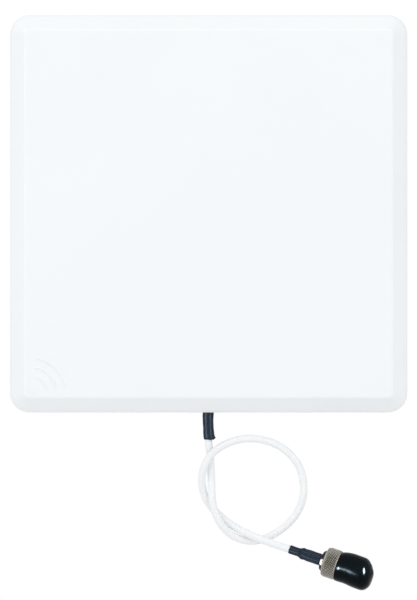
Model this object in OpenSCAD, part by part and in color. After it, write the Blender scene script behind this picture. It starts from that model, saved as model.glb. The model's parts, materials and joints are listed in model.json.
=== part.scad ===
// Flat square panel antenna with a white pigtail lead and a capped coaxial plug.
// The panel hangs upright: +X is to the right, +Z is up, and the front looks along -Y.
// The origin is the centre of the four rear studs, on the outer face of the back plate.

/* [Panel cover] */
// Width and height of the square panel at its rim
panel_w = 260; // [250:1:320]
// Depth from the mounting face to the front face
panel_d = 25; // [24:0.5:32]
// Corner radius at the rim
corner_r = 13; // [12:0.5:16]
// How far the edge of the bevel stands in from the rim
side_draft = 2; // [1.5:0.1:2]
// Width of the bevel around the front face
bevel_w = 8; // [6:0.5:8]
// Depth of the bevel, from its edge to the front face
bevel_d = 6.8; // [6.5:0.1:7]
// Depth of the upright part of each side, which the lead comes out of
wall_d = 16.2; // [16.1:0.1:16.5]
// Thickness of the cover's sides
side_t = 3; // [2.6:0.1:3]
// Thickness of the cover's front
face_t = 2.5; // [2:0.1:3]
// Radius that softens the edge between the bevel and the front face
face_edge_r = 2.4; // [1:0.1:3]
// Radius that softens the edges of the sides
edge_r = 1.2; // [0.6:0.1:1.5]
// Diameter of the screw bosses inside the cover
boss_d = 8; // [7:0.5:9]
// Diameter of the two weep holes in the lower side
weep_d = 2.5; // [2:0.5:4]

/* [Corner mark] */
// Radius of the outermost arc
mark_r = 19.5; // [14:0.5:22]
// Height that the mark stands off the face
mark_relief = 0.35; // [0.2:0.05:0.6]
// Width of each arc
mark_line = 1.3; // [0.8:0.1:1.6]

/* [Back plate] */
// Thickness of the back plate
plate_t = 2; // [1.5:0.1:2]
// Thickness of the perimeter seal
seal_t = 1; // [0.8:0.1:1]
// Distance between neighbouring mounting studs
stud_gap = 100; // [75:1:120]
// Diameter of the mounting studs
stud_d = 6; // [5:1:8]
// How far the studs stand out of the plate
stud_len = 20; // [15:1:30]

/* [Cover screws] */
// Distance from the panel's rim to a screw's axis
screw_inset = 18; // [17:0.5:20]
// Distance from the middle of a side to its two inner screws
screw_offset = 40; // [30:1:60]
// Diameter of all small screws
screw_d = 2.9; // [2.5:0.1:3]
// Diameter of their heads
head_d = 5.6; // [5:0.1:6]
// Height of their heads
head_h = 2.2; // [1.6:0.1:2.4]
// Thickness of the sealing washers
washer_t = 0.8; // [0.5:0.1:1.2]

/* [Feed board] */
// Width of the square feed board
board_w = 190; // [180:1:194]
// Thickness of the feed board
board_t = 1.6; // [1:0.1:1.6]
// Height of the standoffs between plate and board
standoff_h = 4.4; // [4.2:0.1:4.8]
// Distance between the centres of neighbouring patches
patch_gap = 110; // [100:1:116]
// Width of a driven patch on the board
driven_w = 40; // [36:1:48]
// Width of a raised patch plate
patch_w = 52; // [48:1:60]
// Thickness of a raised patch plate
patch_t = 1; // [0.8:0.1:1.2]
// Length of the spacers under the patch plates
spacer_h = 7; // [5:0.5:7]

/* [Lead] */
// Diameter of the lead's jacket
lead_d = 4.95; // [4.5:0.05:5.2]
// Distance from the mounting face to the lead where it leaves the panel
exit_y = 10.5; // [10.5:0.1:11]
// Diameter of the shrink sleeve at the exit
sleeve_d = 7.8; // [7:0.1:8.4]

/* [Plug] */
// Angle of the plug below the horizontal
plug_tilt = 18; // [16:0.1:20]
// Angle that the plug's end is turned forward
plug_turn = 11.6; // [9:0.1:14]
// Diameter of the coupling nut's knurled band
nut_d = 19.8; // [19:0.1:20.4]
// Diameter of the plug's outer contact
contact_d = 8; // [7.9:0.01:8.1]
// Largest diameter of the protective cap
cap_d = 22; // [21:0.1:23]

/* [Hidden] */
$fn = 64;

// Panel outline: corner_c is the distance from the middle to the centres of all corner radii
corner_c = panel_w / 2 - corner_r;
rim_h = 0.5;
rim_t = 1.4;
shoulder_h = panel_d - bevel_w;
face_r = corner_r - side_draft - bevel_w;
draft_slope = side_draft / (shoulder_h - rim_h);
cavity_h = panel_d - face_t;
ledge_h = plate_t + seal_t;
seal_w = 1.5;
fit_gap = 0.05;
weep_x = 60;
weep_depth = 8;

// Depths of the layers inside, measured forward from the mounting face
board_h = plate_t + standoff_h;
board_top = board_h + board_t;
copper_t = 0.1;
copper_top = board_top + copper_t;
patch_h = copper_top + spacer_h;
patch_top = patch_h + patch_t;
nut_t = 2.4;

// Places of the fasteners, as [right, up]
screw_c = panel_w / 2 - screw_inset;
screw_spots = concat(
    [for (x = [-1, 1], z = [-1, 1]) [x * screw_c, z * screw_c]],
    [for (x = [-1, 1], z = [-1, 1]) [x * screw_offset, z * screw_c]],
    [for (x = [-1, 1], z = [-1, 1]) [x * screw_c, z * screw_offset]]
);
stud_spots = [for (x = [-1, 1], z = [-1, 1]) [x, z] * stud_gap / 2];
patch_spots = [for (z = [1, -1], x = [-1, 1]) [x, z] * patch_gap / 2];
stud_collar_d = stud_d + 1;
post_collar_d = 4.2;
post_hex_d = 6.4;
post_c = board_w / 2 - 10;
post_spots = [
    [-post_c, -post_c], [post_c, -post_c], [-post_c, 0], [post_c, 0],
    [-post_c, post_c], [0, post_c], [post_c, post_c]
];
hole_d = screw_d + 4 * fit_gap;
clear_d = screw_d + 2 * fit_gap;
tight_d = screw_d + fit_gap;
small_hex_d = 6.2;
spacer_d = 6;

// Clamp that holds the lead on the back plate
clamp_low = -112;
clamp_w = 8;
clamp_half = 13;
clamp_screw_x = 9;
clamp_split = 0.2;
clamp_top = exit_y + 4.5;
lead_bore = lead_d + fit_gap;

// Steps of the stripped lead inside the panel, as heights along Z
sleeve_top = -119;
sleeve_end = -147.5;
jacket_end = -103;
braid_end = -90;
core_end = -87.5;
wire_end = -83.5;
braid_d = 3.8;
core_d = 2.9;
wire_d = 0.9;
wire_pad = -85;
shield_pad = -91.5;
shield_x = 3.4;

// Exit grommet
grommet_d = 11;
grommet_low = -128.2;
grommet_step = -124.3;
grommet_top = -122.8;

// Route of the free lead's centreline, from the sleeve to the plug: a loose knot of three crossings
lead_route = [
    [0, -10.5, -147.5], [0.2, -10.4, -152], [1, -8.7, -158], [1.4, -7.3, -165],
    [1.8, -9.2, -173], [2, -12.2, -181], [2.6, -13.9, -189], [5, -13.9, -197],
    [9.3, -12.4, -204.5], [16, -9.8, -210.6], [25, -7.6, -213.8], [34, -6.8, -213.2],
    [43, -7.4, -209.3], [51.5, -9, -203], [58, -10, -195], [61.5, -10.5, -186],
    [62, -10.5, -176], [59, -10.5, -165], [52, -11, -156], [42.5, -11.8, -150],
    [31, -12.8, -147], [20, -13.7, -147.5], [10, -14.4, -151], [2, -14.2, -157],
    [-3, -12.6, -165.5], [-4.5, -10, -175], [-2.7, -7.8, -184], [2, -6.6, -192],
    [9.7, -6.6, -199.3], [18, -8.4, -205.3], [26.5, -11.4, -209.6], [35, -13.2, -213],
    [43.5, -13.9, -216.1], [49, -14.8, -217.8], [52.9, -15.6, -219.1]
];
lead_sides = 10;
rings_per_step = 2;

// Plug: it starts where the lead enters the boot, and is built along its own axis from there
plug_start = lead_route[len(lead_route) - 1];
boot_step = 8;
boot_end = 21.5;
boot_d1 = 5.6;
boot_d2 = 7.8;
ferrule_start = 9.5;
ferrule_d = 6.3;
collar_end = 23.4;
collar_d = 14;
barrel_d = 13;
barrel_end = 32;
contact_root = 33.3;
contact_end = 42.5;
contact_bore = 7;
neck_start = 12;
neck_d = 4;
core_bore = 3.2;
insulator_start = 28;
insulator_end = 34;
pin_d = 1.6;
pin_root_d = 2.6;
pin_step = 31;
pin_end = 41;
ring_start = 26.1;
ring_end = 27.1;
groove_d = 12;
ring_d = 14.4;
nut_start = 23.7;
nut_wall_end = 26;
band_end = 34;
nut_end = 44;
skirt_d = 17.8;
thread_d = 14.8;
nut_bore = barrel_d + 0.16;
relief_d = 15.2;
relief_end = 28.5;
cap_bore = 18;
cap_hold = 45.5;
cap_end = 58.4;
mouth_d = 19.8;

// ---- helpers ----

function unit(v) = v / norm(v);

// Points of the arc that rounds the corner b between a and c
function fillet(a, b, c, r, n = 4) =
    let (
        u = unit(a - b),
        w = unit(c - b),
        half = acos(u * w) / 2,
        centre = b + unit(u + w) * r / sin(half),
        p = b + u * r / tan(half) - centre,
        q = b + w * r / tan(half) - centre
    )
    [for (i = [0 : n]) centre + r * unit(p * (n - i) + q * i)];

// Point at fraction t between points i and i + 1 of a smooth curve through the points p
function curve_point(p, i, t) =
    let (
        last = len(p) - 1,
        a = p[max(i - 1, 0)],
        b = p[i],
        c = p[min(i + 1, last)],
        d = p[min(i + 2, last)]
    )
    (2 * b + (c - a) * t + (2 * a - 5 * b + 4 * c - d) * t * t + (3 * b - a - 3 * c + d) * t * t * t) / 2;

function curve(p, steps) = concat(
    [for (i = [0 : len(p) - 2], k = [0 : steps - 1]) curve_point(p, i, k / steps)],
    [p[len(p) - 1]]
);

// Turns a shape drawn as [right, up, forward] into the upright panel's frame
module upright() {
    rotate([90, 0, 0]) children();
}

// Moves to each spot of a list of [right, up] places
module each_at(spots) {
    for (s = spots) translate([s[0], s[1], 0]) children();
}

// A square block with round corners. Each point of the profile is [distance out from corner_c, depth]
module panel_block(profile) {
    last = len(profile) - 1;
    right = [for (q = profile) [corner_c + q[0], q[1]]];
    left = [for (i = [last : -1 : 0]) [-corner_c - profile[i][0], profile[i][1]]];
    for (turn = [0, 90])
        rotate([90, 0, turn])
            linear_extrude(2 * corner_c, center = true) polygon(concat(right, left));
    for (turn = [0 : 90 : 270])
        rotate([0, 0, turn])
            translate([corner_c, corner_c, 0])
                rotate_extrude(angle = 90)
                    polygon(concat([[0, profile[0][1]]], profile, [[0, profile[last][1]]]));
}

// A straight hole or rod along Z between two heights, at the lead's exit
module rod_z(d, low, high) {
    translate([0, -exit_y, low]) cylinder(h = high - low, d = d);
}

// A pan-head screw: the head is below z = 0 and the shank runs up to z = length
module screw(length) {
    recess = head_d * 0.62;
    difference() {
        rotate_extrude()
            polygon([
                [0, length], [screw_d / 2, length], [screw_d / 2, 0], [head_d / 2, 0],
                [head_d / 2, -head_h * 0.55], [head_d * 0.36, -head_h], [0, -head_h]
            ]);
        for (turn = [0, 90])
            rotate([0, 0, turn])
                translate([-recess / 2, -0.35, -head_h - 1]) cube([recess, 0.7, 1 + head_h * 0.6]);
    }
}

// Puts a shape drawn along Z on the plug's axis, with z = 0 where the lead enters the boot
module on_plug_axis() {
    translate(plug_start) rotate([0, 90 + plug_tilt, -plug_turn]) children();
}

// A round tube on the plug's axis
module plug_tube(outer, inner, start, end) {
    on_plug_axis()
        rotate_extrude()
            polygon([[inner / 2, start], [outer / 2, start], [outer / 2, end], [inner / 2, end]]);
}

// ---- panel ----

module cover_shell() {
    rim = [corner_r, rim_h];
    wall = [corner_r - 0.25, wall_d];
    shoulder = [corner_r - side_draft, panel_d - bevel_d];
    face = [face_r, panel_d];
    in_low = corner_r - side_t - draft_slope * (ledge_h - rim_h);
    in_bevel = panel_d + face_r - face_t * sqrt(2);
    in_turn = (in_bevel - in_low - draft_slope * ledge_h) / (1 - draft_slope);
    difference() {
        panel_block(concat(
            [rim],
            fillet(rim, wall, shoulder, edge_r),
            fillet(wall, shoulder, face, edge_r),
            fillet(shoulder, face, [0, panel_d], face_edge_r)
        ));
        panel_block([
            [corner_r - rim_t, -1], [corner_r - rim_t, ledge_h], [in_low, ledge_h],
            [in_bevel - in_turn, in_turn], [in_bevel - cavity_h, cavity_h]
        ]);
    }
}

// A small dot with three arcs around it, the usual sign for radio waves
module corner_mark() {
    mark_c = 2 - corner_c;
    arc_step = mark_r * 0.28;
    translate([mark_c, mark_c, panel_d - 0.2]) {
        cylinder(h = mark_relief + 0.2, r = mark_r * 0.12);
        for (i = [0 : 2])
            rotate([0, 0, 5])
                rotate_extrude(angle = 80)
                    translate([mark_r - mark_line - i * arc_step, 0])
                        square([mark_line, mark_relief + 0.2]);
    }
}

module radome() {
    color("white")
    difference() {
        union() {
            upright() cover_shell();
            upright() each_at(screw_spots)
                translate([0, 0, plate_t]) cylinder(h = cavity_h + 1 - plate_t, d = boss_d);
            upright() corner_mark();
        }
        upright() each_at(screw_spots) cylinder(h = plate_t + 10, d = clear_d);
        rod_z(grommet_d + 2 * fit_gap, -panel_w / 2 - 1, grommet_top);
        for (x = [-weep_x, weep_x])
            translate([x, -exit_y, -panel_w / 2 - 1]) cylinder(h = weep_depth, d = weep_d);
    }
}

module perimeter_seal() {
    seal_out = corner_r - rim_t - 0.2;
    color("dimgray")
    upright() difference() {
        panel_block([[seal_out, plate_t], [seal_out, ledge_h]]);
        panel_block([[seal_out - seal_w, plate_t - 1], [seal_out - seal_w, ledge_h + 1]]);
    }
}

module back_plate() {
    plate_out = corner_r - rim_t - 0.3;
    color("silver")
    upright() difference() {
        panel_block([[plate_out, 0], [plate_out, plate_t]]);
        each_at(screw_spots) translate([0, 0, -1]) cylinder(h = plate_t + 2, d = hole_d);
        each_at(stud_spots) translate([0, 0, -1]) cylinder(h = plate_t + 2, d = stud_collar_d + fit_gap);
        each_at(post_spots) translate([0, 0, -1]) cylinder(h = plate_t + 2, d = post_collar_d + fit_gap);
        for (x = [-clamp_screw_x, clamp_screw_x])
            translate([x, clamp_low + clamp_w / 2, -1]) cylinder(h = plate_t + 2, d = tight_d);
    }
}

module cover_screws() {
    color("gainsboro")
    upright() each_at(screw_spots) translate([0, 0, -washer_t]) screw(washer_t + plate_t + 7);
}

module screw_seals() {
    color("black")
    upright() each_at(screw_spots)
        translate([0, 0, -washer_t]) difference() {
            cylinder(h = washer_t, d = head_d + 1.2);
            translate([0, 0, -1]) cylinder(h = washer_t + 2, d = hole_d);
        }
}

// Each stud has a thicker collar through the plate and a flat head behind it
module mounting_studs() {
    tip = 0.7;
    r = stud_d / 2;
    collar = stud_collar_d / 2;
    color("lightgray")
    upright() each_at(stud_spots)
        rotate_extrude()
            polygon([
                [0, -stud_len], [r - tip, -stud_len], [r, tip - stud_len], [r, 0], [collar, 0],
                [collar, plate_t], [collar + 1.5, plate_t], [collar + 1.5, plate_t + 1.4],
                [0, plate_t + 1.4]
            ]);
}

// ---- feed network ----

module board_standoffs() {
    color("lightgray")
    upright() each_at(post_spots)
        difference() {
            union() {
                cylinder(h = plate_t, d = post_collar_d);
                translate([0, 0, plate_t]) cylinder(h = standoff_h, d = post_hex_d, $fn = 6);
            }
            translate([0, 0, plate_t]) cylinder(h = standoff_h + 1, d = tight_d);
        }
}

module feed_board() {
    color("darkgreen")
    upright() difference() {
        translate([-board_w / 2, -board_w / 2, board_h]) cube([board_w, board_w, board_t]);
        each_at(concat(post_spots, patch_spots))
            translate([0, 0, board_h - 1]) cylinder(h = board_t + 2, d = hole_d);
    }
}

// One feed point at the lower edge branches out to the four driven patches
module feed_copper() {
    arm = patch_gap / 2;
    riser = arm - driven_w / 2 + 1;
    feed_w = 3;
    arm_w = 2;
    riser_w = 1.6;
    pad = [5, 6];
    color("goldenrod")
    upright() translate([0, 0, board_top]) linear_extrude(copper_t) difference() {
        union() {
            for (s = patch_spots) translate(s) square(driven_w, center = true);
            translate([-feed_w / 2, wire_pad - 2]) square([feed_w, 2 - wire_pad + arm_w / 2]);
            translate([-arm - riser_w / 2, -arm_w / 2]) square([2 * arm + riser_w, arm_w]);
            for (x = [-arm, arm]) translate([x - riser_w / 2, -riser]) square([riser_w, 2 * riser]);
            for (x = [-4.5, 4.5]) translate([x, shield_pad]) square(pad, center = true);
        }
        for (s = patch_spots) translate(s) circle(d = hole_d);
    }
}

module board_screws() {
    color("gainsboro")
    upright() each_at(post_spots)
        translate([0, 0, board_top]) rotate([180, 0, 0]) screw(board_t + 3);
}

module patch_plate(i) {
    color("silver")
    upright() translate([patch_spots[i][0], patch_spots[i][1], patch_h]) difference() {
        translate([-patch_w / 2, -patch_w / 2, 0]) cube([patch_w, patch_w, patch_t]);
        translate([0, 0, -1]) cylinder(h = patch_t + 2, d = hole_d);
    }
}

module patch_plate_1() { patch_plate(0); }
module patch_plate_2() { patch_plate(1); }
module patch_plate_3() { patch_plate(2); }
module patch_plate_4() { patch_plate(3); }

module patch_spacers() {
    color("ivory")
    upright() each_at(patch_spots)
        translate([0, 0, copper_top]) difference() {
            cylinder(h = spacer_h, d = spacer_d);
            translate([0, 0, -1]) cylinder(h = spacer_h + 2, d = clear_d);
        }
}

module patch_screws() {
    color("gainsboro")
    upright() each_at(patch_spots)
        translate([0, 0, patch_top]) rotate([180, 0, 0]) screw(patch_top - board_h + nut_t);
}

module patch_nuts() {
    color("gainsboro")
    upright() each_at(patch_spots)
        translate([0, 0, board_h - nut_t]) difference() {
            cylinder(h = nut_t, d = small_hex_d, $fn = 6);
            translate([0, 0, -1]) cylinder(h = nut_t + 2, d = tight_d);
        }
}

// ---- lead inside the panel ----

module clamp_block(low, high) {
    difference() {
        upright() translate([-clamp_half, clamp_low, low]) cube([2 * clamp_half, clamp_w, high - low]);
        rod_z(lead_bore, clamp_low - 1, clamp_low + clamp_w + 1);
        for (x = [-clamp_screw_x, clamp_screw_x])
            upright() translate([x, clamp_low + clamp_w / 2, 0])
                cylinder(h = clamp_top + 1, d = clear_d);
    }
}

module clamp_base() {
    color("ivory") clamp_block(plate_t, exit_y - clamp_split);
}

module clamp_cap() {
    color("ivory") clamp_block(exit_y + clamp_split, clamp_top);
}

module clamp_screws() {
    color("gainsboro")
    for (x = [-clamp_screw_x, clamp_screw_x])
        upright() translate([x, clamp_low + clamp_w / 2, clamp_top])
            rotate([180, 0, 0]) screw(clamp_top - 0.2);
}

module inner_lead() {
    color("white") {
        rod_z(lead_d, sleeve_end, jacket_end);
        rod_z(braid_d, jacket_end - 1, braid_end);
        rod_z(core_d, braid_end - 1, core_end);
        rod_z(wire_d, core_end - 1, wire_end);
    }
}

module solder_dome(x, z, r) {
    upright() intersection() {
        translate([x, z, copper_top]) sphere(r = r);
        translate([x - r, z - r, copper_top]) cube([2 * r, 2 * r, r]);
    }
}

module solder_joints() {
    color("gainsboro") {
        solder_dome(0, wire_pad, 2.9);
        solder_dome(-shield_x, shield_pad, 2.4);
        solder_dome(shield_x, shield_pad, 2.4);
    }
}

module exit_grommet() {
    color("black")
    difference() {
        union() {
            rod_z(grommet_d, grommet_low, grommet_step + 0.5);
            rod_z(grommet_d + 2, grommet_step, grommet_top);
        }
        rod_z(sleeve_d + 2 * fit_gap, grommet_low - 1, grommet_top + 1);
    }
}

module exit_sleeve() {
    color("black")
    difference() {
        rod_z(sleeve_d, sleeve_end, sleeve_top);
        rod_z(lead_bore, sleeve_end - 1, sleeve_top + 1);
    }
}

// ---- free lead ----

// Sweeps a polygon of lead_sides corners along the smooth route
module pigtail_cable() {
    path = curve(lead_route, rings_per_step);
    last = len(path) - 1;
    n = lead_sides;
    points = [
        for (i = [0 : last])
            let (
                along = unit(path[min(i + 1, last)] - path[max(i - 1, 0)]),
                side = unit(cross(along, [0, 1, 0])),
                front = cross(side, along)
            )
            for (k = [0 : n - 1])
                path[i] + lead_d / 2 * (side * cos(k * 360 / n) + front * sin(k * 360 / n))
    ];
    walls = [
        for (i = [0 : last - 1], k = [0 : n - 1])
            let (a = i * n + k, b = i * n + (k + 1) % n)
            each [[a, a + n, b + n], [a, b + n, b]]
    ];
    ends = [[for (k = [0 : n - 1]) k], [for (k = [n - 1 : -1 : 0]) last * n + k]];
    color("white") polyhedron(points, concat(walls, ends));
}

// ---- plug ----

module plug_boot() {
    bore = ferrule_d + 2 * fit_gap;
    color("black")
    on_plug_axis() rotate_extrude()
        polygon([
            [lead_bore / 2, 0], [boot_d1 / 2, 0], [boot_d1 / 2 + 0.15, boot_step],
            [boot_d2 / 2, boot_step + 2], [boot_d2 / 2, boot_end - 0.3], [boot_d2 / 2 - 0.3, boot_end],
            [bore / 2, boot_end], [bore / 2, ferrule_start - 0.1], [lead_bore / 2, ferrule_start - 0.1]
        ]);
}

module plug_lead_end() {
    braid_start = neck_start - 1;
    color("white") {
        plug_tube(lead_d, 0, 0, braid_start);
        plug_tube(lead_d, neck_d + 2 * fit_gap, braid_start - 0.5, boot_end - 0.3);
        plug_tube(core_d, 0, braid_start - 0.5, insulator_start);
        plug_tube(wire_d, 0, insulator_start - 0.5, pin_step - 0.6);
    }
}

module crimp_ferrule() {
    color("silver") plug_tube(ferrule_d, lead_bore, ferrule_start, boot_end - 0.1);
}

module plug_body() {
    color("silver")
    on_plug_axis() rotate_extrude()
        polygon([
            [core_bore / 2, neck_start], [neck_d / 2, neck_start], [neck_d / 2, boot_end],
            [collar_d / 2, boot_end], [collar_d / 2, collar_end], [barrel_d / 2, collar_end],
            [barrel_d / 2, ring_start], [groove_d / 2, ring_start], [groove_d / 2, ring_end],
            [barrel_d / 2, ring_end], [barrel_d / 2, barrel_end], [contact_d / 2 + 0.3, barrel_end],
            [contact_d / 2 + 0.3, contact_root], [contact_d / 2, contact_root],
            [contact_d / 2, contact_end - 0.3], [contact_d / 2 - 0.2, contact_end],
            [contact_bore / 2, contact_end], [contact_bore / 2, insulator_start],
            [core_bore / 2, insulator_start]
        ]);
}

module plug_insulator() {
    hole = pin_d / 2 + fit_gap;
    root = pin_root_d / 2 + fit_gap;
    outer = contact_bore / 2 - fit_gap;
    color("whitesmoke")
    on_plug_axis() rotate_extrude()
        polygon([
            [root, insulator_start + 0.1], [outer, insulator_start + 0.1], [outer, insulator_end],
            [hole, insulator_end], [hole, pin_step + 0.1], [root, pin_step + 0.1]
        ]);
}

module centre_contact() {
    wire_hole = wire_d / 2 + fit_gap;
    color("gold")
    on_plug_axis() rotate_extrude()
        polygon([
            [wire_hole, insulator_start + 0.2], [pin_root_d / 2, insulator_start + 0.2],
            [pin_root_d / 2, pin_step], [pin_d / 2, pin_step], [pin_d / 2, pin_end - 1.2],
            [pin_d / 5, pin_end], [0, pin_end], [0, pin_step - 0.4], [wire_hole, pin_step - 0.4]
        ]);
}

module retaining_ring() {
    color("silver")
    plug_tube(ring_d, groove_d + 2 * fit_gap, ring_start + fit_gap, ring_end - fit_gap);
}

module plug_gasket() {
    color("orangered") plug_tube(thread_d - 0.4, contact_d + 0.7, barrel_end, barrel_end + 1.2);
}

module coupling_nut() {
    color("silver")
    on_plug_axis() rotate_extrude()
        polygon([
            [nut_bore / 2, nut_start], [collar_d / 2 + 0.6, nut_start], [nut_d / 2 - 0.6, nut_start + 1.4],
            [nut_d / 2, nut_start + 2.2], [nut_d / 2, band_end - 0.4], [nut_d / 2 - 0.4, band_end],
            [skirt_d / 2, band_end], [skirt_d / 2, nut_end - 0.4], [skirt_d / 2 - 0.4, nut_end],
            [thread_d / 2, nut_end], [thread_d / 2, relief_end], [relief_d / 2, relief_end],
            [relief_d / 2, nut_wall_end], [nut_bore / 2, nut_wall_end]
        ]);
}

module protective_cap() {
    outside = curve([
        [mouth_d / 2, band_end + 0.2], [mouth_d / 2 + 0.5, 38.5], [cap_d / 2 - 0.05, 44],
        [cap_d / 2, 48], [cap_d / 2 - 0.55, 52], [8.95, 55], [6.6, 57.3], [3.4, 58.2], [0, cap_end]
    ], 4);
    inside = [
        [0, cap_end - 1.2], [5.5, cap_end - 1.9], [8.1, 54.6], [8.8, 52],
        [cap_bore / 2, cap_hold], [cap_bore / 2, band_end + 0.2]
    ];
    color("black")
    on_plug_axis() rotate_extrude() polygon(concat(outside, inside));
}

radome();
perimeter_seal();
back_plate();
cover_screws();
screw_seals();
mounting_studs();
board_standoffs();
feed_board();
feed_copper();
board_screws();
patch_plate_1();
patch_plate_2();
patch_plate_3();
patch_plate_4();
patch_spacers();
patch_screws();
patch_nuts();
clamp_base();
clamp_cap();
clamp_screws();
inner_lead();
solder_joints();
exit_grommet();
exit_sleeve();
pigtail_cable();
plug_boot();
plug_lead_end();
crimp_ferrule();
plug_body();
plug_insulator();
centre_contact();
retaining_ring();
plug_gasket();
coupling_nut();
protective_cap();
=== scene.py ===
"""A flat panel antenna with a looped pigtail lead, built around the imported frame. Everything is in metres."""
import json
import math

import bmesh
import bpy
from mathutils import Matrix, Vector, noise


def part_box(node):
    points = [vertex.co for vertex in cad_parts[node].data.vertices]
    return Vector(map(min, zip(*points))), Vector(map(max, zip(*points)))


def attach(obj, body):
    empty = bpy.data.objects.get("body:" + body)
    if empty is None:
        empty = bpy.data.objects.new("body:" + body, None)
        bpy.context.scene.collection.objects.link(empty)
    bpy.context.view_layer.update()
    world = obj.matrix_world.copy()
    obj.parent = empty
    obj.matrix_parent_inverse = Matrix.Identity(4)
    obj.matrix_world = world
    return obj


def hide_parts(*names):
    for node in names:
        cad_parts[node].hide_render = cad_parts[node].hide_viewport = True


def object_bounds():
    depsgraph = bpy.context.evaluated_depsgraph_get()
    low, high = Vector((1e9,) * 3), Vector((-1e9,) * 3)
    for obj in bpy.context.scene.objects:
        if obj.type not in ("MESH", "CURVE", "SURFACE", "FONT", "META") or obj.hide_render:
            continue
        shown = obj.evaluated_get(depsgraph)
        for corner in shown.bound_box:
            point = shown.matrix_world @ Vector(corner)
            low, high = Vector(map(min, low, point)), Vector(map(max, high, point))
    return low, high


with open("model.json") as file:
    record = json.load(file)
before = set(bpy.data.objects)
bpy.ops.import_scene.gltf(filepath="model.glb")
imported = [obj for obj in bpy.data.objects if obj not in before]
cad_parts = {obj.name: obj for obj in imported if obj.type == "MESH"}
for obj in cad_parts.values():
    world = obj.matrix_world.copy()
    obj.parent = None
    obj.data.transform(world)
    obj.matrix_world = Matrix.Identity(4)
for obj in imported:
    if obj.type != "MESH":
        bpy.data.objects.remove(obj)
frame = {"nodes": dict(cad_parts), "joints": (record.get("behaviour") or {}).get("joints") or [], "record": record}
cad_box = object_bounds()

MM = 0.001

# ---- places, from the frame ----

radome_low, radome_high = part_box("radome")
plate_low, plate_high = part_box("back_plate")
sleeve_low, sleeve_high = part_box("exit_sleeve")
stud_low, stud_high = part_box("mounting_studs")

HALF = radome_high.x                      # half the panel's width, at the rim
CORNER_R = 13 * MM
CORNER_C = HALF - CORNER_R                # distance from the middle to the corner radii's centres
EXIT = Vector((0, (sleeve_low.y + sleeve_high.y) / 2, sleeve_low.z))
JOINTS = {j["name"]: j for j in frame["joints"]}
AXIS = Vector(JOINTS["cap_pull"]["axis"]).normalized()

# Centreline of the free lead, the same points as in the design, in metres
ROUTE = [Vector(p) * MM for p in [
    (0, -10.5, -147.5), (0.2, -10.4, -152), (1, -8.7, -158), (1.4, -7.3, -165),
    (1.8, -9.2, -173), (2, -12.2, -181), (2.6, -13.9, -189), (5, -13.9, -197),
    (9.3, -12.4, -204.5), (16, -9.8, -210.6), (25, -7.6, -213.8), (34, -6.8, -213.2),
    (43, -7.4, -209.3), (51.5, -9, -203), (58, -10, -195), (61.5, -10.5, -186),
    (62, -10.5, -176), (59, -10.5, -165), (52, -11, -156), (42.5, -11.8, -150),
    (31, -12.8, -147), (20, -13.7, -147.5), (10, -14.4, -151), (2, -14.2, -157),
    (-3, -12.6, -165.5), (-4.5, -10, -175), (-2.7, -7.8, -184), (2, -6.6, -192),
    (9.7, -6.6, -199.3), (18, -8.4, -205.3), (26.5, -11.4, -209.6), (35, -13.2, -213),
    (43.5, -13.9, -216.1), (49, -14.8, -217.8), (52.9, -15.6, -219.1),
]]
LEAD_D = 4.95 * MM

# The plug's own frame: its z runs along the plug from the point where the lead enters the boot
DOWN = Vector((0, 1, 0)).cross(AXIS).normalized()
PLUG = Matrix.Translation(ROUTE[-1]) @ Matrix((DOWN, AXIS.cross(DOWN), AXIS)).transposed().to_4x4()


# ---- camera ----

def add_camera():
    """Straight on to the front through a long lens, with the panel high in the frame."""
    distance, frame_height, aim = 6.0, 0.3916, Vector((-0.0001, -0.02, -0.0563))
    data = bpy.data.cameras.new("camera")
    data.sensor_width = 36
    data.lens = data.sensor_width * distance / frame_height
    data.clip_end = 100
    camera = bpy.data.objects.new("camera", data)
    bpy.context.scene.collection.objects.link(camera)
    camera.location = aim - Vector((0, distance, 0))
    camera.rotation_euler = (math.pi / 2, 0, 0)
    bpy.context.scene.camera = camera


add_camera()


# ---- materials ----

def shader(name, color, roughness, metallic=0.0, **constants):
    """A Principled material and its node tree; constants are set on the shader's own sockets."""
    material = bpy.data.materials.new(name)
    material.use_nodes = True
    tree = material.node_tree
    principled = tree.nodes["Principled BSDF"]
    principled.inputs["Base Color"].default_value = (*color, 1)
    principled.inputs["Roughness"].default_value = roughness
    principled.inputs["Metallic"].default_value = metallic
    for socket, value in constants.items():
        principled.inputs[socket.replace("_", " ")].default_value = value
    return material, tree, principled


def noise_field(tree, scale, detail=3.0, stretch=(1, 1, 1), roughness=0.5):
    """Noise in the object's own coordinates; scale is in cells per metre."""
    place = tree.nodes.new("ShaderNodeTexCoord")
    mapping = tree.nodes.new("ShaderNodeMapping")
    mapping.inputs["Scale"].default_value = stretch
    field = tree.nodes.new("ShaderNodeTexNoise")
    field.inputs["Scale"].default_value = scale
    field.inputs["Detail"].default_value = detail
    field.inputs["Roughness"].default_value = roughness
    tree.links.new(place.outputs["Object"], mapping.inputs["Vector"])
    tree.links.new(mapping.outputs["Vector"], field.inputs["Vector"])
    return field.outputs["Fac"]


def remap(tree, value, low, high, start=0.3, end=0.7):
    """A field that runs from low to high as value goes from start to end."""
    node = tree.nodes.new("ShaderNodeMapRange")
    node.inputs["From Min"].default_value = start
    node.inputs["From Max"].default_value = end
    node.inputs["To Min"].default_value = low
    node.inputs["To Max"].default_value = high
    tree.links.new(value, node.inputs["Value"])
    return node.outputs["Result"]


def blend_colors(tree, factor, first, second):
    """first where factor is 0, second where it is 1; either is a colour or a socket."""
    node = tree.nodes.new("ShaderNodeMix")
    node.data_type = "RGBA"
    for socket, value in ((node.inputs[6], first), (node.inputs[7], second)):
        if isinstance(value, bpy.types.NodeSocket):
            tree.links.new(value, socket)
        else:
            socket.default_value = (*value, 1)
    tree.links.new(factor, node.inputs[0])
    return node.outputs[2]


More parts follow.
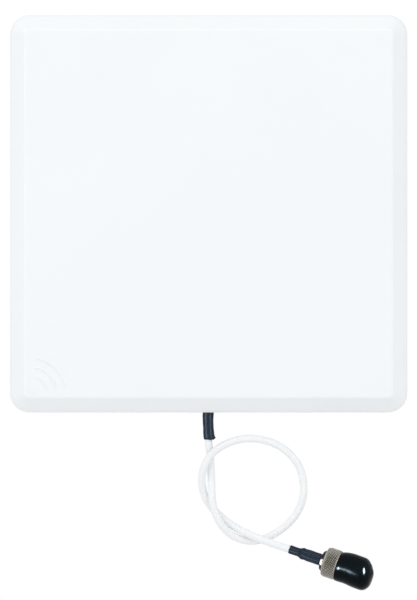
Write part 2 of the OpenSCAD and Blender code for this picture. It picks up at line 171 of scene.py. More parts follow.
def bumps(tree, principled, layers):
    """Stacks bump layers, each (height field, strength, distance in metres)."""
    last = None
    for height, strength, distance in layers:
        node = tree.nodes.new("ShaderNodeBump")
        node.inputs["Strength"].default_value = strength
        node.inputs["Distance"].default_value = distance
        tree.links.new(height, node.inputs["Height"])
        if last is not None:
            tree.links.new(last, node.inputs["Normal"])
        last = node.outputs["Normal"]
    tree.links.new(last, principled.inputs["Normal"])


def edge_wear(tree, low=0.52, high=0.62):
    """1 on outer edges and 0 elsewhere."""
    geometry = tree.nodes.new("ShaderNodeNewGeometry")
    return remap(tree, geometry.outputs["Pointiness"], 0.0, 1.0, low, high)


def moulded_plastic(name, color, tint, roughness=0.42, texture=1.0, **constants):
    """Moulded plastic with a fine spark-eroded texture and slight flow marks."""
    material, tree, principled = shader(name, color, roughness, **constants)
    flow = noise_field(tree, 14, 4)
    tree.links.new(blend_colors(tree, remap(tree, flow, 0, 1), color, tint), principled.inputs["Base Color"])
    tree.links.new(remap(tree, noise_field(tree, 60, 5), roughness - 0.05, roughness + 0.07),
                   principled.inputs["Roughness"])
    bumps(tree, principled, [
        (noise_field(tree, 2600, 2), 0.10 * texture, 0.00006),
        (flow, 0.05, 0.0004),
    ])
    return material


def jacket_plastic(name):
    """Soft white PVC with a slightly uneven skin."""
    material, tree, principled = shader(
        name, (0.9, 0.915, 0.92), 0.45, Specular_IOR_Level=0.35,
    )
    mottle = noise_field(tree, 90, 4)
    tree.links.new(blend_colors(tree, remap(tree, mottle, 0, 1), (0.88, 0.9, 0.905), (0.91, 0.922, 0.927)),
                   principled.inputs["Base Color"])
    tree.links.new(remap(tree, noise_field(tree, 180, 4), 0.4, 0.5), principled.inputs["Roughness"])
    bumps(tree, principled, [(noise_field(tree, 45, 1), 0.05, 0.0004)])
    return material


def shrink_plastic(name):
    """Matte black heat-shrink with a blue cast, fine grain and dusty patches."""
    material, tree, principled = shader(name, (0.014, 0.022, 0.036), 0.36, Specular_IOR_Level=0.12,
                                        Specular_Tint=(0.7, 0.85, 1.0, 1.0))
    dust = noise_field(tree, 420, 6, roughness=0.65)
    tree.links.new(blend_colors(tree, remap(tree, dust, 0, 1, 0.35, 0.75), (0.011, 0.018, 0.031),
                                (0.022, 0.033, 0.055)), principled.inputs["Base Color"])
    tree.links.new(remap(tree, dust, 0.3, 0.44), principled.inputs["Roughness"])
    bumps(tree, principled, [
        (noise_field(tree, 1500, 4), 0.25, 0.0001),
        (noise_field(tree, 260, 3, stretch=(1, 1, 2.2)), 0.35, 0.0004),
    ])
    return material


def vinyl(name):
    """Glossy black dipped vinyl, with soft waves in the skin."""
    material, tree, principled = shader(name, (0.001, 0.0013, 0.0018), 0.14, Specular_IOR_Level=0.1,
                                        Specular_Tint=(0.62, 0.85, 1.0, 1.0))
    wave = noise_field(tree, 110, 2)
    tree.links.new(remap(tree, noise_field(tree, 240, 5), 0.14, 0.19), principled.inputs["Roughness"])
    tree.links.new(blend_colors(tree, remap(tree, noise_field(tree, 90, 4), 0, 1), (0.0006, 0.001, 0.0014),
                                (0.0016, 0.0022, 0.003)), principled.inputs["Base Color"])
    bumps(tree, principled, [(wave, 0.04, 0.0004), (noise_field(tree, 1300, 2), 0.02, 0.00004)])
    return material


def plated_metal(name, color, dark, roughness=0.3, wear=0.5):
    """Plated metal: duller in patches, brighter on its edges."""
    material, tree, principled = shader(name, color, roughness, 1.0)
    patch = noise_field(tree, 520, 6, roughness=0.6)
    base = blend_colors(tree, remap(tree, patch, 0, 1), color, dark)
    bright = tuple(min(1.0, c * 1.15) for c in color)
    worn = blend_colors(tree, remap(tree, edge_wear(tree), 0, wear, 0, 1), base, bright)
    tree.links.new(worn, principled.inputs["Base Color"])
    tree.links.new(remap(tree, patch, roughness - 0.07, roughness + 0.12), principled.inputs["Roughness"])
    bumps(tree, principled, [(noise_field(tree, 2400, 3), 0.12, 0.00004)])
    return material


def aged_nickel_with_painted_shade(name):
    """Nickel plate that has dulled to a warm grey, with painted shade that makes it near black down in its grooves
    and a painted highlight that makes it bright on its edges.
    """
    material, tree, principled = shader(name, (0.3, 0.28, 0.245), 0.26, 1.0)
    patch = noise_field(tree, 380, 6, roughness=0.6)
    base = blend_colors(tree, remap(tree, patch, 0, 1), (0.32, 0.31, 0.27), (0.235, 0.235, 0.2))
    geometry = tree.nodes.new("ShaderNodeNewGeometry")
    # Painted shade darkens the grooves to near black and a painted highlight lightens the crests, both picked out
    # by pointiness.
    grooves = remap(tree, geometry.outputs["Pointiness"], 1, 0, 0.45, 0.5)
    crests = remap(tree, geometry.outputs["Pointiness"], 0, 1, 0.51, 0.56)
    groove_shaded = blend_colors(tree, grooves, base, (0.02, 0.022, 0.018))
    tree.links.new(blend_colors(tree, crests, groove_shaded, (0.6, 0.57, 0.5)), principled.inputs["Base Color"])
    tree.links.new(remap(tree, patch, 0.18, 0.34), principled.inputs["Roughness"])
    bumps(tree, principled, [(noise_field(tree, 2400, 3), 0.1, 0.00003)])
    return material


def polished_nickel(name):
    """Turned nickel, polished, with fine lathe lines; its near-black base colour is a painted reflection of dark
    surroundings.
    """
    # Painted reflection: the near-black base colours stand in for the dark surroundings this polished metal would
    # reflect.
    material, tree, principled = shader(name, (0.03, 0.03, 0.028), 0.16, 1.0)
    patch = noise_field(tree, 300, 5)
    tree.links.new(blend_colors(tree, remap(tree, patch, 0, 1), (0.036, 0.036, 0.033), (0.022, 0.022, 0.021)),
                   principled.inputs["Base Color"])
    tree.links.new(remap(tree, patch, 0.12, 0.22), principled.inputs["Roughness"])
    bumps(tree, principled, [(noise_field(tree, 1900, 3), 0.06, 0.00002)])
    return material


def brushed_sheet(name, color, dark, along=(1, 1, 40)):
    """Rolled aluminium sheet with its grain along X and light handling marks."""
    material, tree, principled = shader(name, color, 0.38, 1.0)
    grain = noise_field(tree, 60, 5, stretch=along, roughness=0.6)
    marks = noise_field(tree, 22, 6, roughness=0.65)
    base = blend_colors(tree, remap(tree, grain, 0, 1), color, dark)
    tree.links.new(base, principled.inputs["Base Color"])
    tree.links.new(remap(tree, marks, 0.32, 0.5), principled.inputs["Roughness"])
    bumps(tree, principled, [(grain, 0.12, 0.00008), (marks, 0.04, 0.0002)])
    return material


def rubber(name, color, light):
    """Matte rubber with a fine grain and a dusty bloom."""
    material, tree, principled = shader(name, color, 0.75)
    bloom = noise_field(tree, 240, 5)
    tree.links.new(blend_colors(tree, remap(tree, bloom, 0, 1), color, light),
                   principled.inputs["Base Color"])
    tree.links.new(remap(tree, bloom, 0.68, 0.85), principled.inputs["Roughness"])
    bumps(tree, principled, [(noise_field(tree, 1800, 4), 0.3, 0.0001)])
    return material


def circuit_board(name):
    """Solder mask over woven glass."""
    material, tree, principled = shader(name, (0.02, 0.16, 0.07), 0.35)
    place = tree.nodes.new("ShaderNodeTexCoord")
    weave = tree.nodes.new("ShaderNodeTexWave")
    weave.inputs["Scale"].default_value = 420
    weave.inputs["Distortion"].default_value = 0.6
    tree.links.new(place.outputs["Object"], weave.inputs["Vector"])
    tree.links.new(blend_colors(tree, remap(tree, weave.outputs["Fac"], 0, 1, 0, 1), (0.018, 0.15, 0.065),
                                (0.03, 0.2, 0.09)), principled.inputs["Base Color"])
    tree.links.new(remap(tree, noise_field(tree, 200, 3), 0.3, 0.45), principled.inputs["Roughness"])
    bumps(tree, principled, [(weave.outputs["Fac"], 0.1, 0.00005)])
    return material


def make_materials():
    """One material per material slot of the record, and a polished one for the plug's body."""
    return {
        "white_abs": moulded_plastic("white_abs", (0.882, 0.914, 0.921), (0.868, 0.901, 0.91)),
        "grey_rubber": rubber("grey_rubber", (0.05, 0.05, 0.053), (0.09, 0.09, 0.092)),
        "aluminium_plate": brushed_sheet("aluminium_plate", (0.74, 0.75, 0.76), (0.62, 0.63, 0.645)),
        "zinc_screw": plated_metal("zinc_screw", (0.7, 0.71, 0.72), (0.5, 0.51, 0.53), 0.28),
        "black_rubber": rubber("black_rubber", (0.012, 0.012, 0.013), (0.03, 0.03, 0.031)),
        "zinc_stud": plated_metal("zinc_stud", (0.68, 0.69, 0.71), (0.46, 0.47, 0.49), 0.32),
        "circuit_board": circuit_board("circuit_board"),
        "copper_track": plated_metal("copper_track", (0.8, 0.5, 0.33), (0.66, 0.38, 0.24), 0.34),
        "aluminium_patch": brushed_sheet("aluminium_patch", (0.76, 0.77, 0.78), (0.66, 0.67, 0.68),
                                         (1, 1, 30)),
        "nylon": moulded_plastic("nylon", (0.82, 0.79, 0.7), (0.78, 0.74, 0.64), 0.45),
        "white_jacket": jacket_plastic("white_jacket"),
        "solder": plated_metal("solder", (0.72, 0.72, 0.72), (0.58, 0.58, 0.58), 0.22),
        "shrink_sleeve": shrink_plastic("shrink_sleeve"),
        "nickel": aged_nickel_with_painted_shade("nickel"),
        "polished_nickel": polished_nickel("polished_nickel"),
        "ptfe": moulded_plastic("ptfe", (0.86, 0.86, 0.82), (0.82, 0.82, 0.77), 0.5),
        "gold_plate": plated_metal("gold_plate", (0.9, 0.66, 0.3), (0.78, 0.54, 0.22), 0.2),
        "silicone": rubber("silicone", (0.55, 0.09, 0.03), (0.62, 0.13, 0.05)),
        "black_vinyl": vinyl("black_vinyl"),
    }


MATERIALS = make_materials()
SLOT_OF = {s["node"]: s["material_slot"] for s in frame["record"]["subparts"]}


# ---- mesh helpers ----

def mesh_piece(name, verts, faces, slot, body="root", replaces=(), smooth=True):
    """A mesh object with its material, its body and the CAD nodes that it stands for."""
    data = bpy.data.meshes.new(name)
    data.from_pydata([tuple(v) for v in verts], [], faces)
    work = bmesh.new()
    work.from_mesh(data)
    bmesh.ops.remove_doubles(work, verts=work.verts, dist=1e-7)
    bmesh.ops.recalc_face_normals(work, faces=work.faces)
    work.to_mesh(data)
    work.free()
    if smooth:
        data.shade_smooth()
    piece = bpy.data.objects.new(name, data)
    bpy.context.scene.collection.objects.link(piece)
    data.materials.append(MATERIALS[slot])
    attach(piece, body)
    if replaces:
        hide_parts(*replaces)
    return piece


def grid_faces(rows, columns, wrap_columns=True, wrap_rows=False):
    """Quads of a grid of rows x columns points, closed around in either direction."""
    faces = []
    for i in range(rows if wrap_rows else rows - 1):
        for k in range(columns if wrap_columns else columns - 1):
            a, b = i * columns + k, i * columns + (k + 1) % columns
            c, d = (i + 1) % rows * columns + (k + 1) % columns, (i + 1) % rows * columns + k
            faces.append((a, b, c, d))
    return faces


def revolve(profile, steps, matrix=Matrix.Identity(4), shape=None):
    """Turns a closed profile of (radius, height) about z; shape moves a point by radius, height, angle."""
    verts = []
    for radius, height in profile:
        for k in range(steps):
            angle = 2 * math.pi * k / steps
            r, z = shape(radius, height, angle) if shape else (radius, height)
            verts.append(matrix @ Vector((r * math.cos(angle), r * math.sin(angle), z)))
    return verts, grid_faces(len(profile), steps, wrap_rows=True)


def smooth_curve(points, steps):
    """Catmull-Rom curve through the points, as the design sweeps its lead."""
    last = len(points) - 1
    path = []
    for i in range(last):
        a, b, c, d = points[max(i - 1, 0)], points[i], points[i + 1], points[min(i + 2, last)]
        for k in range(steps):
            t = k / steps
            path.append((2 * b + (c - a) * t + (2 * a - 5 * b + 4 * c - d) * t * t
                         + (3 * b - a - 3 * c + d) * t ** 3) / 2)
    return path + [points[-1]]


# ---- lead ----

def add_lead():
    """The free lead: a round tube along the route."""
    data = bpy.data.curves.new("lead", "CURVE")
    data.dimensions = "3D"
    data.bevel_depth = LEAD_D / 2
    data.bevel_resolution = 8
    data.use_fill_caps = True
    path = smooth_curve(ROUTE, 8)
    spline = data.splines.new("POLY")
    spline.points.add(len(path) - 1)
    for point, place in zip(spline.points, path):
        point.co = (*place, 1)
    spline.use_smooth = True
    lead = bpy.data.objects.new("lead", data)
    bpy.context.scene.collection.objects.link(lead)
    data.materials.append(MATERIALS["white_jacket"])
    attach(lead, "root")
    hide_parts("pigtail_cable")
    return lead


lead = add_lead()


# ---- profiles ----

def rounded(points, radii, steps=6, support=0.25 * MM):
    """A polyline whose corners are arcs, with a support point just outside each arc to keep flats flat."""
    result = [Vector(points[0])]
    for i in range(1, len(points) - 1):
        before, corner, after = (Vector(p) for p in points[i - 1:i + 2])
        radius = radii[i]
        if not radius:
            result.append(corner)
            continue
        u, w = (before - corner).normalized(), (after - corner).normalized()
        half = math.acos(max(-1, min(1, u.dot(w)))) / 2
        reach = radius / math.tan(half)
        center = corner + (u + w).normalized() * radius / math.sin(half)
        p, q = corner + u * reach - center, corner + w * reach - center
        if (before - corner).length > reach + 1.5 * support:
            result.append(corner + u * (reach + support))
        result += [center + radius * (p * (steps - k) + q * k).normalized() for k in range(steps + 1)]
        if (after - corner).length > reach + 1.5 * support:
            result.append(corner + w * (reach + support))
    return [tuple(p) for p in result + [Vector(points[-1])]]


# ---- panel cover ----

def cover_profile():
    """The cover's section from the middle of the face, out over the bevel and rim, and back inside."""
    depth = -radome_low.y - 0.35 * MM
    rim = -radome_high.y
    wall, shoulder, face = 16.2 * MM, depth - 6.8 * MM, CORNER_R - 10 * MM
    ledge, cavity = plate_high.y - plate_low.y + 1 * MM, depth - 2.5 * MM
    points = [
        (0, depth), (face, depth), (CORNER_R - 2 * MM, shoulder), (CORNER_R - 0.25 * MM, wall),
        (CORNER_R, rim), (CORNER_R - 1.4 * MM, rim), (CORNER_R - 1.4 * MM, ledge),
        (CORNER_R - 3.3 * MM, ledge), (CORNER_R - 4.7 * MM, wall - 0.2 * MM), (face - 1 * MM, cavity),
        (0, cavity),
    ]
    radii = [0, 2.4, 1.2, 1.2, 0.35, 0.35, 0.2, 0.2, 1, 1, 0]
    return rounded(points, [r * MM for r in radii])


def panel_sweep(profile, steps=20):
    """Rings of a section carried around the square with round corners, open at both ends."""
    verts = []
    for out, depth in profile:
        for corner in range(4):
            for i in range(steps + 1):
                angle = math.radians(90 * (corner + i / steps))
                center = Vector((CORNER_C, CORNER_C))
                center.rotate(Matrix.Rotation(math.radians(90 * corner), 2))
                verts.append((center.x + out * math.cos(angle), -depth, center.y + out * math.sin(angle)))
    columns = 4 * (steps + 1)
    rows = len(profile)
    faces = grid_faces(rows, columns)
    faces.append(tuple(range(columns)))
    faces.append(tuple((rows - 1) * columns + k for k in range(columns)))
    return verts, faces


def tool_cylinder(start, end, radius, steps=32):
    """A closed cylinder between two points, for cutting or joining."""
    axis = (end - start).normalized()
    turn = Matrix.Translation(start) @ axis.to_track_quat("Z", "Y").to_matrix().to_4x4()
    angles = [2 * math.pi * k / steps for k in range(steps)]
    verts = [turn @ Vector((radius * math.cos(a), radius * math.sin(a), h))
             for h in (0, (end - start).length) for a in angles]
    return verts, grid_faces(2, steps) + [tuple(range(steps)), tuple(range(steps, 2 * steps))]


def combine(piece, parts, operation):
    """Joins closed parts to a piece, or cuts them from it."""
    verts, faces = [], []
    for part_verts, part_faces in parts:
        offset = len(verts)
        verts += part_verts
        faces += [tuple(i + offset for i in face) for face in part_faces]
    data = bpy.data.meshes.new("tool")
    data.from_pydata([tuple(v) for v in verts], [], faces)
    work = bmesh.new()
    work.from_mesh(data)
    bmesh.ops.recalc_face_normals(work, faces=work.faces)
    work.to_mesh(data)
    work.free()
    tool = bpy.data.objects.new("tool", data)
    bpy.context.scene.collection.objects.link(tool)
    modifier = piece.modifiers.new("combine", "BOOLEAN")
    modifier.operation, modifier.object, modifier.solver = operation, tool, "EXACT"
    result = bpy.data.meshes.new_from_object(piece.evaluated_get(bpy.context.evaluated_depsgraph_get()))
    piece.modifiers.clear()
    old = piece.data
    piece.data = result
    bpy.data.meshes.remove(old)
    bpy.data.objects.remove(tool)
    bpy.data.meshes.remove(data)


def raised_arc(center, radius, width, height, start, end, face_y, steps=24):
    """A low ridge along an arc on the front face, with softened top edges."""
    half, sunk, soft = width / 2, 0.3 * MM, 0.4 * MM
    section = [(-half, -sunk), (-half, height - soft), (-half + soft, height), (half - soft, height),
               (half, height - soft), (half, -sunk)]
    verts = []
    for i in range(steps + 1):
        angle = math.radians(start + (end - start) * i / steps)
        for across, up in section:
            r = radius + across
            verts.append((center[0] + r * math.cos(angle), face_y - up, center[1] + r * math.sin(angle)))
    columns = len(section)
    faces = grid_faces(steps + 1, columns)
    faces += [tuple(range(columns)), tuple(steps * columns + k for k in range(columns))]
    return verts, faces


def corner_mark(face_y):
    """A dot with three arcs, the usual sign for radio waves."""
    place = 2 * MM - CORNER_C
    outer, width, relief = 21.5 * MM, 1.5 * MM, 0.65 * MM
    dot = tool_cylinder(Vector((place, face_y + 0.3 * MM, place)), Vector((place, face_y - relief, place)),
                        outer * 0.12)
    arcs = [raised_arc((place, place), outer - width / 2 - i * outer * 0.28, width, relief, 5, 85, face_y)
            for i in range(3)]
    return [dot] + arcs


def add_cover():
    """The cover with its screw bosses, corner mark, exit hole and weep holes."""
    profile = cover_profile()
    face_y = -profile[0][1]
    cover = mesh_piece("cover", *panel_sweep(profile), "white_abs", replaces=["radome"])
    inset, offset = HALF - 18 * MM, 40 * MM
    spots = [(x * inset, z * inset) for x in (-1, 1) for z in (-1, 1)]
    spots += [(x * offset, z * inset) for x in (-1, 1) for z in (-1, 1)]
    spots += [(x * inset, z * offset) for x in (-1, 1) for z in (-1, 1)]
    inner_face = face_y + 2 * MM
    bosses = [tool_cylinder(Vector((x, plate_low.y, z)), Vector((x, inner_face, z)), 4 * MM)
              for x, z in spots]
    combine(cover, bosses + corner_mark(face_y), "UNION")
    holes = [tool_cylinder(Vector((x, 0, z)), Vector((x, -12 * MM, z)), 1.5 * MM, 16) for x, z in spots]
    low, high = -HALF - 1 * MM, -HALF + 8 * MM
    holes.append(tool_cylinder(Vector((0, EXIT.y, low)), Vector((0, EXIT.y, high)), 5.55 * MM))
    holes += [tool_cylinder(Vector((x, EXIT.y, low)), Vector((x, EXIT.y, high)), 1.25 * MM, 24)
              for x in (-60 * MM, 60 * MM)]
    combine(cover, holes, "DIFFERENCE")
    shade_by_angle(cover, 30)
    return cover


def shade_by_angle(piece, degrees):
    """Smooth shading with sharp edges where faces meet at more than the angle."""
    data = piece.data
    work = bmesh.new()
    work.from_mesh(data)
    for face in work.faces:
        face.smooth = True
    for edge in work.edges:
        if len(edge.link_faces) == 2:
            edge.smooth = edge.calc_face_angle(0) < math.radians(degrees)
    work.to_mesh(data)
    work.free()


cover = add_cover()


# ---- studs ----

def add_studs():
    """Four M6 studs with real threads that run out at the tip, on a thicker collar."""
    gap = (stud_high.x - stud_low.x) - 10 * MM
    pitch, major, depth, steps = 1 * MM, 3 * MM, 0.6 * MM, 30
    tip, inside = stud_high.y, stud_low.y
    rows = 10 * round(tip / pitch)
    verts, faces = [], []
    for x in (-gap / 2, gap / 2):
        for z in (-gap / 2, gap / 2):
            rings = []
            for i in range(rows + 1):
                h = tip * i / rows
                ring = []
                for k in range(steps):
                    turn = k / steps
                    phase = (h / pitch - turn) % 1
                    ridge = 1 - abs(2 * phase - 1)
                    runout = min(1, (tip - h) / (1.2 * MM))
                    cut = depth * min(1, max(0, 1.25 * (1 - ridge) - 0.12))
                    radius = major - cut - 0.55 * MM * (1 - runout)
                    ring.append((radius, h, 2 * math.pi * turn))
                rings.append(ring)
            base = [[(3.5 * MM, h, 2 * math.pi * k / steps) for k in range(steps)] for h in (-2 * MM, 0)]
            head = [[(5 * MM, h, 2 * math.pi * k / steps) for k in range(steps)] for h in (inside, -2 * MM)]
            rings = head + base + rings
            offset = len(verts)
            for ring in rings:
                verts += [(x + r * math.cos(a), h, z + r * math.sin(a)) for r, h, a in ring]
            faces += [tuple(i + offset for i in face) for face in grid_faces(len(rings), steps)]
            faces += [tuple(range(offset, offset + steps)),
                      tuple(range(offset + (len(rings) - 1) * steps, offset + len(rings) * steps))]
    studs = mesh_piece("studs", verts, faces, "zinc_stud", replaces=["mounting_studs"])
    shade_by_angle(studs, 50)


add_studs()


# ---- sleeve at the exit ----

def add_exit_sleeve():
    """Heat-shrink tube: it bows left and ends a little right; its lower lip is uneven, with a nub."""
    steps, rows = 72, 60
    top, bottom = sleeve_high.z, sleeve_low.z
    outer, bore = 3.9 * MM, 2.5 * MM
    outside, inside = [], []
    for i in range(rows + 1):
        t = i / rows
        z = top + (bottom - top) * t
        below = max(0.0, (radome_low.z + 1.5 * MM - z) / (radome_low.z + 1.5 * MM - bottom))
        lean = MM * (-0.25 * min(1, 8 * below) - 0.9 * below + 1.6 * below ** 2)
        ring = []
        for k in range(steps):
            angle = 2 * math.pi * k / steps
            point = Vector((math.cos(angle), math.sin(angle), 0))
            wave = noise.noise(point * 1.3 + Vector((0, 0, z * 260))) * 0.14 * MM
            fold = noise.noise(point * 3.1 + Vector((4, 0, z * 700))) * 0.05 * MM
            pinch = -0.22 * MM - 0.2 * MM * math.exp(-((t - 0.65) / 0.16) ** 2)
            nub = 0.75 * MM * math.exp(-((angle - 0.25) / 0.3) ** 2 - ((t - 0.95) / 0.022) ** 2)
            lip = 0.35 * MM * max(0, (t - 0.975) / 0.025) ** 2
            amount = 1 if below else 0
            r = outer + amount * (wave + fold + pinch + nub) - lip
            ragged = noise.noise(point * 1.7 + Vector((9, 3, 1))) * max(0, (t - 0.9) / 0.1)
            ragged = amount * 0.35 * MM * ragged
            ring.append(Vector((lean + r * math.cos(angle), EXIT.y + r * math.sin(angle), z + ragged)))
        outside += ring
        if i in (0, rows):
            shift = 0 if i == 0 else lean * 0.35
            inside.append([Vector((shift + bore * math.cos(2 * math.pi * k / steps),
                                   EXIT.y + bore * math.sin(2 * math.pi * k / steps),
                                   z + (0.6 * MM if i else 0))) for k in range(steps)])
    verts = outside + inside[1] + inside[0]
    faces = grid_faces(rows + 3, steps, wrap_rows=True)
    piece = mesh_piece("shrink_sleeve", verts, faces, "shrink_sleeve", replaces=["exit_sleeve"])
    shade_by_angle(piece, 50)
    return piece


sleeve = add_exit_sleeve()


# ---- plug ----

def add_boot():
    """Heat-shrink boot: thin over the lead, then over the hexagonal crimp."""
    bore, ferrule = 2.5 * MM, 3.2 * MM
    steps, length = 72, 22.7 * MM
    outer = smooth_curve([Vector(p) * MM for p in [
        (2.62, 0), (2.86, 0.5), (2.83, 3), (2.85, 5.9), (3.02, 7), (3.6, 8.3), (3.86, 9.3), (3.76, 10.6),
        (3.7, 14), (3.72, 20), (3.7, 22.3), (3.5, 22.7)]], 6)
    profile = [(p.x, p.y) for p in outer]
    profile += [(ferrule, length), (ferrule, 9.4 * MM), (bore, 9.4 * MM), (bore, 0)]

    def shape(radius, height, angle):
        if radius <= ferrule + 0.01 * MM and height > 9.3 * MM or radius <= bore + 0.01 * MM:
            return radius, height
        point = Vector((math.cos(angle), math.sin(angle), 0))
        begin = max(0, min(1, (height - 11 * MM) / (2 * MM)))
        end = max(0, min(1, (length - height) / (2 * MM)))
        hexagon = 0.16 * MM * math.cos(6 * angle) * begin * end
        wave = 0.12 * MM * noise.noise(point * 1.5 + Vector((2, 5, height * 300)))
        bump = math.exp(-((height - 8.9 * MM) / (0.8 * MM)) ** 2)
        ridge = 0.12 * MM * bump * (0.5 + 0.5 * math.cos(angle - 3.4))
        ragged = 0.3 * MM * noise.noise(point * 1.4 + Vector((1, 8, 2))) * max(0, 1 - height / (1.5 * MM))
        return radius + hexagon + wave + ridge, max(0, height + ragged)

    piece = mesh_piece("boot", *revolve(profile, steps, PLUG, shape), "shrink_sleeve", replaces=["plug_boot"])
    shade_by_angle(piece, 50)
    return piece


boot = add_boot()


def add_plug_body():
    """Turned body: collar, barrel with the ring's groove, and the slotted outer contact."""
    points = [
        (1.6, 28), (1.6, 12), (2.0, 12), (2.0, 22.6), (6.0, 22.6), (6.2, 22.7), (7.4, 24.45),
        (6.5, 24.45), (6.5, 26.1), (6.0, 26.1), (6.0, 27.1), (6.5, 27.1), (6.5, 32), (4.3, 32),
        (4.3, 33.3), (4.0, 33.3), (4.0, 42.5), (3.5, 42.5), (3.5, 28), (1.6, 28),
    ]
    radii = [0, 0.1, 0.1, 0.1, 0.1, 0.2, 0.1, 0.05, 0, 0, 0, 0, 0.3, 0.1, 0.2, 0.1, 0.2, 0.15, 0.1, 0]
    profile = rounded([(x * MM, z * MM) for x, z in points], [r * MM for r in radii], 5, 0.1 * MM)
    body = mesh_piece("plug_shell", *revolve(profile[:-1], 96, PLUG), "nickel", replaces=["plug_body"])
    slots = []
    for turn in (0, math.pi / 2):
        across = PLUG @ Matrix.Rotation(turn, 4, "Z")
        corners = [across @ (Vector((x, y, z)) * MM) for z in (35.5, 44) for x, y in
                   ((-5, -0.25), (5, -0.25), (5, 0.25), (-5, 0.25))]
        slots.append((corners, [(0, 1, 2, 3), (4, 5, 6, 7), (0, 1, 5, 4), (1, 2, 6, 5), (2, 3, 7, 6),
                                (3, 0, 4, 7)]))
    combine(body, slots, "DIFFERENCE")
    shade_by_angle(body, 40)
    # The plug's body takes the nickel whose near-black colour is a painted dark reflection.
    body.data.materials[0] = MATERIALS["polished_nickel"]
    return body


plug_shell = add_plug_body()


def add_nut():
    """Coupling nut with a diamond knurl cut into its band, and a thread inside its skirt."""
    teeth, steps_per_tooth = 42, 10
    steps = teeth * steps_per_tooth
    band_low, band_high, band_r, knurl = 25.9, 33.6, 9.9, 0.5
    rows = 60
    back = [(6.58, 26.0), (6.58, 24.6), (6.7, 24.5), (7.6, 24.5), (9.1, 24.95), (9.45, 25.36)]
    band = [(band_r, band_low + (band_high - band_low) * i / rows) for i in range(rows + 1)]
    front = [(9.45, 34.0), (8.95, 34.0), (8.9, 34.1), (8.9, 43.7), (8.6, 44.0), (7.75, 44.0), (7.4, 43.6)]
    pitch = 25.4 / 24
    thread = [(7.4 + 0.5 * (i % 4 in (2, 3)), 43.5 - i * pitch / 4) for i in range(56)]
    inner = [(7.4, 28.5), (7.6, 28.5), (7.6, 26.0)]
    profile = [(r * MM, z * MM) for r, z in back + band + front + thread + inner]

    def shape(radius, height, angle):
        z = height / MM
        if abs(radius - band_r * MM) > 0.001 * MM or not band_low <= z <= band_high:
            return radius, height
        turn = angle / (2 * math.pi) * teeth
        along = (z - band_low) / (2 * math.pi * band_r / teeth)
        ridges = [1 - abs(2 * ((turn + way * along) % 1) - 1) for way in (-1, 1)]
        edge = min(1, (z - band_low) / 0.5, (band_high - z) / 0.5)
        peak = min(1, 1.25 * min(ridges))
        return radius - knurl * MM * (1 - peak * edge), height

    nut = mesh_piece("knurled_nut", *revolve(profile, steps, PLUG, shape), "nickel", "nut",
                     replaces=["coupling_nut"])
    shade_by_angle(nut, 28)
    return nut


nut = add_nut()


def add_cap():
    """Dipped vinyl cap: a hollow soft bullet that leans and droops, with a slightly uneven mouth."""
    outside = smooth_curve([Vector(p) * MM for p in [
        (9.25, 34.1), (9.5, 34.3), (9.68, 34.9), (9.92, 36), (10.08, 37.3), (10.27, 40), (10.46, 43),
        (10.6, 45.5), (10.66, 48), (10.66, 49.5), (10.55, 51.3), (10.2, 52.9), (9.5, 54.3), (8.4, 55.6),
        (6.8, 56.8), (4.7, 57.6), (2.4, 58), (0.25, 58.1)]], 6)
    inside = smooth_curve([Vector(p) * MM for p in [
        (0.25, 56.7), (3, 56.3), (5.4, 55.1), (7, 53.4), (8.2, 51), (8.8, 48), (9.02, 45), (9.02, 40),
        (9.02, 36), (9.05, 34.6), (9.15, 34.3)]], 4)
    profile = [(p.x, p.y) for p in outside + inside]

    def shape(radius, height, angle):
        point = Vector((math.cos(angle), math.sin(angle), 0))
        along = height / MM
        outer = radius > 9.1 * MM or along > 56.78 or radius / MM + along > 62
        sag = 0.06 * MM * noise.noise(point * 1.2 + Vector((0, 3, along * 0.09))) if outer else 0
        lean = MM * (0.3 * math.exp(-((along - 34) / 2.5) ** 2) - 0.4 * math.exp(-((along - 41.5) / 4) ** 2)
                     + 0.5 * math.exp(-((along - 54.5) / 3.2) ** 2))
        sag += lean * math.cos(angle) if outer else 0
        end = max(0, min(1, (along - 50) / 5)) * min(1, radius / (6 * MM)) ** 2 if outer else 0
        mouth = 0.22 * MM * noise.noise(point * 1.6 + Vector((7, 1, 0))) * max(0, 1 - (along - 34.2) / 1.5)
        droop = MM * end * (0.9 * math.cos(angle) - 0.4)
        return radius + sag * min(1, radius / (6 * MM)), height + mouth + droop

    cap = mesh_piece("vinyl_cap", *revolve(profile, 120, PLUG, shape), "black_vinyl", "cap",
                     replaces=["protective_cap"])
    shade_by_angle(cap, 60)
    return cap


cap = add_cap()


# ---- CAD nodes that stay, with their materials ----

def finish_cad_nodes():
    """Gives every CAD node the material of its slot."""
    for name, node in frame["nodes"].items():
        node.data.materials.clear()
        node.data.materials.append(MATERIALS[SLOT_OF[name]])


finish_cad_nodes()


# ---- studio ----

def add_floor():
    """A plain pale floor, well below the hanging panel."""
    level = cad_box[0][2] - 0.22
    west, east, south, north = -2.5, 2.5, -3.0, 1.9
    data = bpy.data.meshes.new("floor")
    data.from_pydata([(west, south, level), (east, south, level), (east, north, level), (west, north, level)],
                     [], [(0, 1, 2, 3)])
    floor = bpy.data.objects.new("floor", data)
    bpy.context.scene.collection.objects.link(floor)
    material, tree, principled = shader("floor", (0.93, 0.93, 0.93), 0.7)
    tone = noise_field(tree, 1.5, 2)
    tree.links.new(blend_colors(tree, remap(tree, tone, 0, 1), (0.925, 0.925, 0.93), (0.94, 0.94, 0.945)),
                   principled.inputs["Base Color"])
    data.materials.append(material)


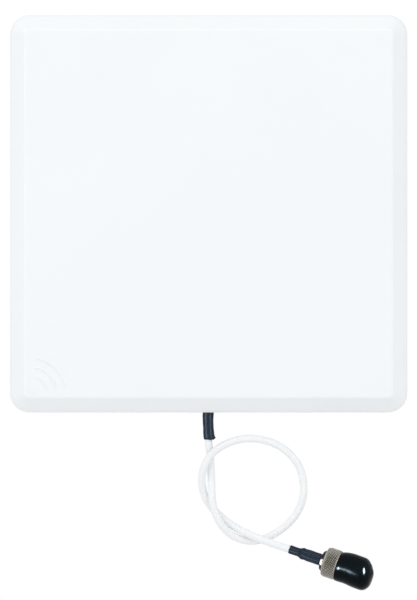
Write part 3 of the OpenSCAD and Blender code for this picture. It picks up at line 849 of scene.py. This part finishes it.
def add_world():
    """Soft white surroundings, brighter in front and bluer below, with a backdrop behind the panel."""
    world = bpy.data.worlds.new("studio")
    world.use_nodes = True
    bpy.context.scene.world = world
    tree = world.node_tree
    background = tree.nodes["Background"]
    place = tree.nodes.new("ShaderNodeTexCoord")
    weigh = tree.nodes.new("ShaderNodeVectorMath")
    weigh.operation = "DOT_PRODUCT"
    weigh.inputs[1].default_value = (-0.07, -0.365, 0.05)
    tree.links.new(place.outputs["Generated"], weigh.inputs[0])
    ambient = tree.nodes.new("ShaderNodeMath")
    ambient.operation = "ADD"
    ambient.inputs[1].default_value = 0.875
    tree.links.new(weigh.outputs["Value"], ambient.inputs[0])
    split = tree.nodes.new("ShaderNodeSeparateXYZ")
    tree.links.new(place.outputs["Generated"], split.inputs["Vector"])
    backdrop = remap(tree, split.outputs["Y"], 0, 0.5, 0.9, 0.985)
    total = tree.nodes.new("ShaderNodeMath")
    total.operation = "ADD"
    tree.links.new(ambient.outputs["Value"], total.inputs[0])
    tree.links.new(backdrop, total.inputs[1])
    tree.links.new(total.outputs["Value"], background.inputs["Strength"])
    below = remap(tree, split.outputs["Z"], 1, 0, -0.7, 0.2)
    tree.links.new(blend_colors(tree, below, (1, 1, 1), (0.985, 0.99, 1.06)), background.inputs["Color"])


def add_softbox(name, pieces, center, toward, width, height, radiance):
    """A softbox whose glints show only on the given pieces; toward is its direction from the center."""
    reach = 0.45
    data = bpy.data.lights.new(name, "AREA")
    data.shape = "ELLIPSE"
    data.size, data.size_y = width, height
    data.energy = radiance * math.pi * width * height * math.pi / 4
    lamp = bpy.data.objects.new(name, data)
    bpy.context.scene.collection.objects.link(lamp)
    lamp.location = center + reach * Vector(toward).normalized()
    lamp.rotation_euler = (-Vector(toward)).to_track_quat("-Z", "Y").to_euler()
    lamp.visible_camera = False
    lamp.visible_diffuse = False
    receivers = bpy.data.collections.new(name)
    for piece in pieces:
        receivers.objects.link(piece)
    lamp.light_linking.receiver_collection = receivers


def light_plug_and_sleeve():
    """Softboxes for the glints seen on the cap, the collar and the shrink sleeves."""
    tip, collar, crimp = (PLUG @ (Vector((0, 0, z)) * MM) for z in (46, 22.6, 12))
    add_softbox("cap_mouth", [cap], tip, (-0.645, -0.763, -0.07), 0.08, 0.12, 300)
    add_softbox("cap_middle", [cap], tip, (-0.516, -0.847, -0.12), 0.035, 0.12, 34)
    add_softbox("cap_tip", [cap], tip, (0.66, -0.7, 0.27), 0.18, 0.3, 240)
    add_softbox("collar_glint", [plug_shell], collar, (-0.93, 0.1, 0.1), 0.3, 0.3, 40)
    add_softbox("boot_low", [boot], crimp, (-0.513, -0.704, -0.49), 0.2, 0.12, 40)
    add_softbox("boot_high", [boot], crimp, (-0.117, -0.704, 0.7), 0.2, 0.12, 14)
    add_softbox("sleeve_left", [sleeve], EXIT, (-0.75, -0.66, 0), 0.1, 0.3, 40)
    add_softbox("sleeve_right", [sleeve], EXIT, (0.75, -0.66, 0), 0.1, 0.3, 26)


def light_cover():
    """Long softboxes that draw a thin bright line along the left and top edges of the face."""
    edge = HALF - 10 * MM
    add_softbox("cover_left", [cover], Vector((-edge, radome_low.y, 0)), (-0.62, -0.78, 0), 0.08, 1.2, 6)
    add_softbox("cover_top", [cover], Vector((0, radome_low.y, edge)), (0, -0.78, 0.62), 1.2, 0.08, 3)


add_floor()
add_world()
light_plug_and_sleeve()
light_cover()

bpy.context.scene.view_settings.view_transform = "Standard"
